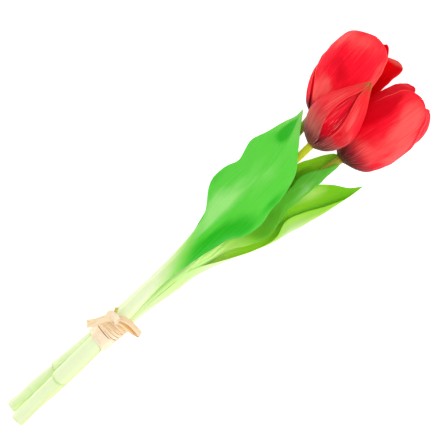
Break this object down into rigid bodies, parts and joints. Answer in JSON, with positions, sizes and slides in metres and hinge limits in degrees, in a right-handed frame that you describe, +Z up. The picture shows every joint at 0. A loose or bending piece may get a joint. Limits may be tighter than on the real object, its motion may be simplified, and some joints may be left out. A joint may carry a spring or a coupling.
{
  "type": "artificial tulip bouquet",
  "caption": "Bunch of soft moulded artificial tulips lying flat: open red heads and a closed bud on bendable wired stems, long sheathing leaves, held together by a knotted raffia tie.",
  "frame": {"origin": "middle of the bounding box of the lying bunch, on the table", "axes": "+X along the bunch from the cut stem ends to the flowers, +Y across it towards the open flower at the back left, +Z up from the table"},
  "size_m": [0.348, 0.0854, 0.0669],
  "materials": {
    "petal_a": "soft matte moulded petal, deeper red inside, brownish at the base",
    "petal_b": "soft matte moulded bud, green tinge at the tip",
    "petal_c": "soft matte moulded petal, deeper red inside, brownish at the base",
    "core": "matte",
    "stem": "soft satin, pale yellow green",
    "leaf_front": "soft satin, parallel veins",
    "leaf_outer": "soft satin, parallel veins, pale underside",
    "leaf_inner": "soft satin, parallel veins",
    "leaf_back": "soft satin, parallel veins",
    "raffia": "dry natural fibre",
    "steel": "drawn wire"
  },
  "bodies": {
    "bunch": {"tulip_a_stem": "stem", "tulip_a_stem_wire": "steel", "tulip_b_stem": "stem", "tulip_b_stem_wire": "steel", "tulip_c_stem": "stem", "tulip_c_stem_wire": "steel", "leaf_front_sheath": "leaf_front", "leaf_outer_sheath": "leaf_outer", "leaf_inner_sheath": "leaf_inner", "leaf_back_sheath": "leaf_back", "tie_wrap_lower": "raffia", "tie_wrap_upper": "raffia", "tie_knot": "raffia", "tie_tail_left": "raffia", "tie_loop_right": "raffia", "tie_stub": "raffia"},
    "head_a": {"tulip_a_neck": "stem", "tulip_a_neck_wire": "steel", "tulip_a_core": "core", "tulip_a_pistil": "core", "tulip_a_outer_petal_1": "petal_a", "tulip_a_outer_petal_2": "petal_a", "tulip_a_outer_petal_3": "petal_a", "tulip_a_inner_petal_1": "petal_a", "tulip_a_inner_petal_2": "petal_a", "tulip_a_inner_petal_3": "petal_a"},
    "head_b": {"tulip_b_neck": "stem", "tulip_b_neck_wire": "steel", "tulip_b_core": "core", "tulip_b_outer_petal_1": "petal_b", "tulip_b_outer_petal_2": "petal_b", "tulip_b_outer_petal_3": "petal_b", "tulip_b_inner_petal_1": "petal_b", "tulip_b_inner_petal_2": "petal_b", "tulip_b_inner_petal_3": "petal_b"},
    "head_c": {"tulip_c_neck": "stem", "tulip_c_neck_wire": "steel", "tulip_c_core": "core", "tulip_c_pistil": "core", "tulip_c_outer_petal_1": "petal_c", "tulip_c_outer_petal_2": "petal_c", "tulip_c_outer_petal_3": "petal_c", "tulip_c_inner_petal_1": "petal_c", "tulip_c_inner_petal_2": "petal_c", "tulip_c_inner_petal_3": "petal_c"},
    "leaf_front": {"leaf_front_blade": "leaf_front"},
    "leaf_outer": {"leaf_outer_blade": "leaf_outer"},
    "leaf_inner": {"leaf_inner_blade": "leaf_inner"},
    "leaf_back": {"leaf_back_blade": "leaf_back"}
  },
  "joints": [
    {"name": "head_a_bend", "type": "hinge", "parent": "bunch", "child": "head_a", "pos_m": [0.09444, 0.01519, 0.02076], "axis": [0, 0, 1], "range_deg": [0, 25]},
    {"name": "head_b_bend", "type": "hinge", "parent": "bunch", "child": "head_b", "pos_m": [0.08044, 0.003, 0.04606], "axis": [0, -1, 0], "range_deg": [0, 30]},
    {"name": "head_c_bend", "type": "hinge", "parent": "bunch", "child": "head_c", "pos_m": [0.09144, -0.01577, 0.0209], "axis": [0, 0, -1], "range_deg": [0, 10]},
    {"name": "leaf_front_flex", "type": "hinge", "parent": "bunch", "child": "leaf_front", "pos_m": [-0.01456, 0.0072, 0.02846], "axis": [0, -1, 0], "range_deg": [0, 25], "stiffness_Nm_per_rad": 0.12, "springref_deg": -2.86},
    {"name": "leaf_outer_flex", "type": "hinge", "parent": "bunch", "child": "leaf_outer", "pos_m": [-0.01556, -0.0099, 0.00366], "axis": [0, 0, -1], "range_deg": [0, 12], "stiffness_Nm_per_rad": 0.12, "springref_deg": -2.86},
    {"name": "leaf_inner_flex", "type": "hinge", "parent": "bunch", "child": "leaf_inner", "pos_m": [0.00444, -0.0054, 0.00706], "axis": [0, 0, -1], "range_deg": [0, 5], "stiffness_Nm_per_rad": 0.12, "springref_deg": -2.86},
    {"name": "leaf_back_flex", "type": "hinge", "parent": "bunch", "child": "leaf_back", "pos_m": [-0.02156, 0.0128, 0.00346], "axis": [0, 0, 1], "range_deg": [0, 12], "stiffness_Nm_per_rad": 0.12, "springref_deg": -2.86}
  ]
}
